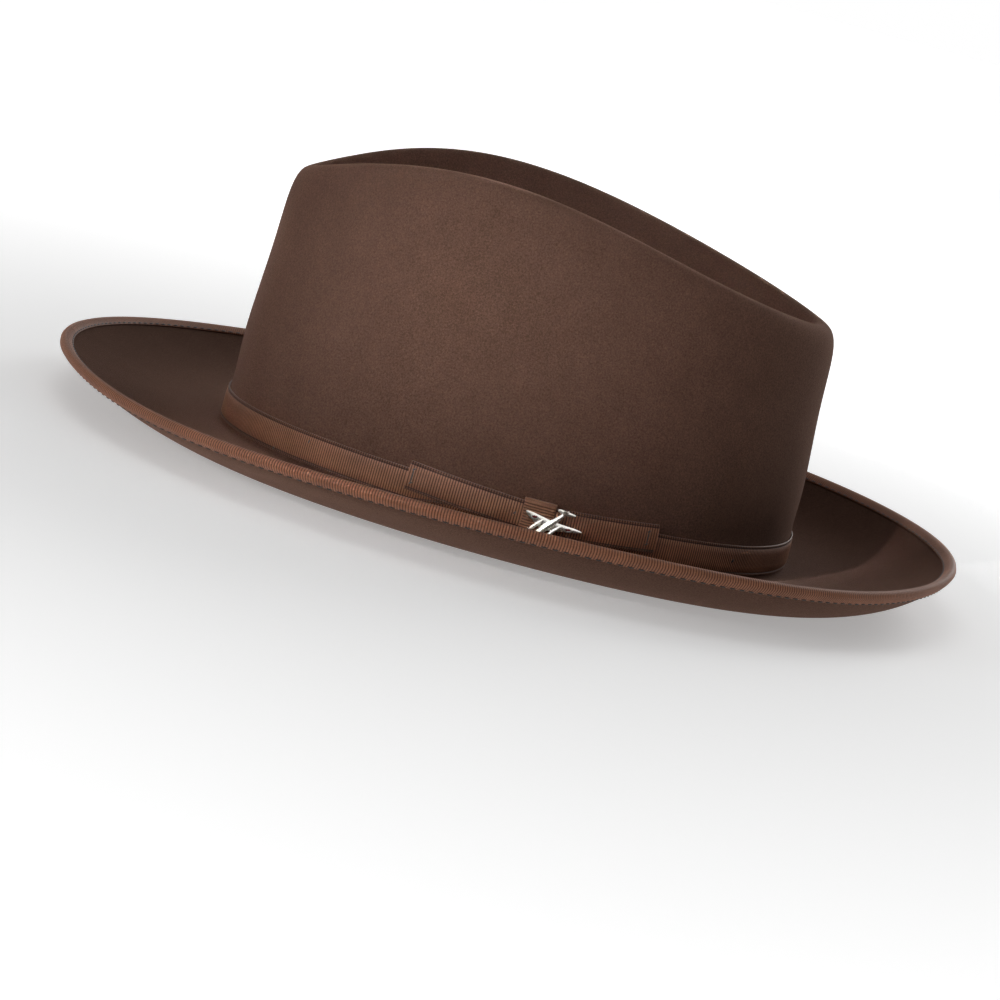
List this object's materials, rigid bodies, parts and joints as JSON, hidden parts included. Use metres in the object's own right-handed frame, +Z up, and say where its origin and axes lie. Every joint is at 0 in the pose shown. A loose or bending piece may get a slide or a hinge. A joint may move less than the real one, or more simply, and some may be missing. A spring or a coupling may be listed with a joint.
{
  "type": "fedora hat",
  "caption": "Felt fedora with centre-dent crown, curled ribbon-bound brim, grosgrain band with flat side bow, a small turning aeroplane pin, reeded leather sweatband and satin lining.",
  "frame": {"origin": "on the table the brim rests on, under the middle of the brim's outline", "axes": "-Y towards the wearer's front, +X towards the wearer's left (the bow's side), +Z up through the crown"},
  "size_m": [0.2954, 0.3288, 0.1132],
  "materials": {
    "felt": "brushed fur felt, soft low sheen",
    "binding": "ribbed grosgrain ribbon",
    "band": "ribbed grosgrain ribbon",
    "thread": "matte sewing thread",
    "pin_metal": "polished silver plate",
    "enamel": "hard gloss enamel",
    "clutch_metal": "stamped brass",
    "leather": "smooth satin calf",
    "leather_thread": "matte sewing thread",
    "reed": "satin",
    "sleeve_metal": "satin",
    "tape": "thin woven tape",
    "small_bow": "satin ribbon",
    "paper": "matte card",
    "lining": "satin lining"
  },
  "bodies": {
    "hat": {"felt_body": "felt", "brim_binding": "binding", "binding_thread_top": "thread", "binding_thread_under": "thread", "hat_band": "band", "band_tacks": "thread", "bow_front_loop": "band", "bow_rear_loop": "band", "bow_knot": "band", "bow_tacks": "thread", "sweatband": "leather", "sweatband_thread": "leather_thread", "sweatband_reed": "reed", "reed_sleeve": "sleeve_metal", "reed_tape": "tape", "sweatband_seam_tape": "tape", "sweatband_bow": "small_bow", "size_tag": "paper", "lining_side": "lining", "lining_tip": "lining"},
    "pin": {"pin_plane": "pin_metal", "pin_enamel": "enamel", "pin_post": "pin_metal", "pin_clutch": "clutch_metal"}
  },
  "joints": [
    {"name": "pin_turn", "type": "hinge", "parent": "hat", "child": "pin", "pos_m": [0.08731, 0.01577, 0.01224], "axis": [0.9976, 0.0691, 0], "range_deg": [-35, 30]}
  ]
}
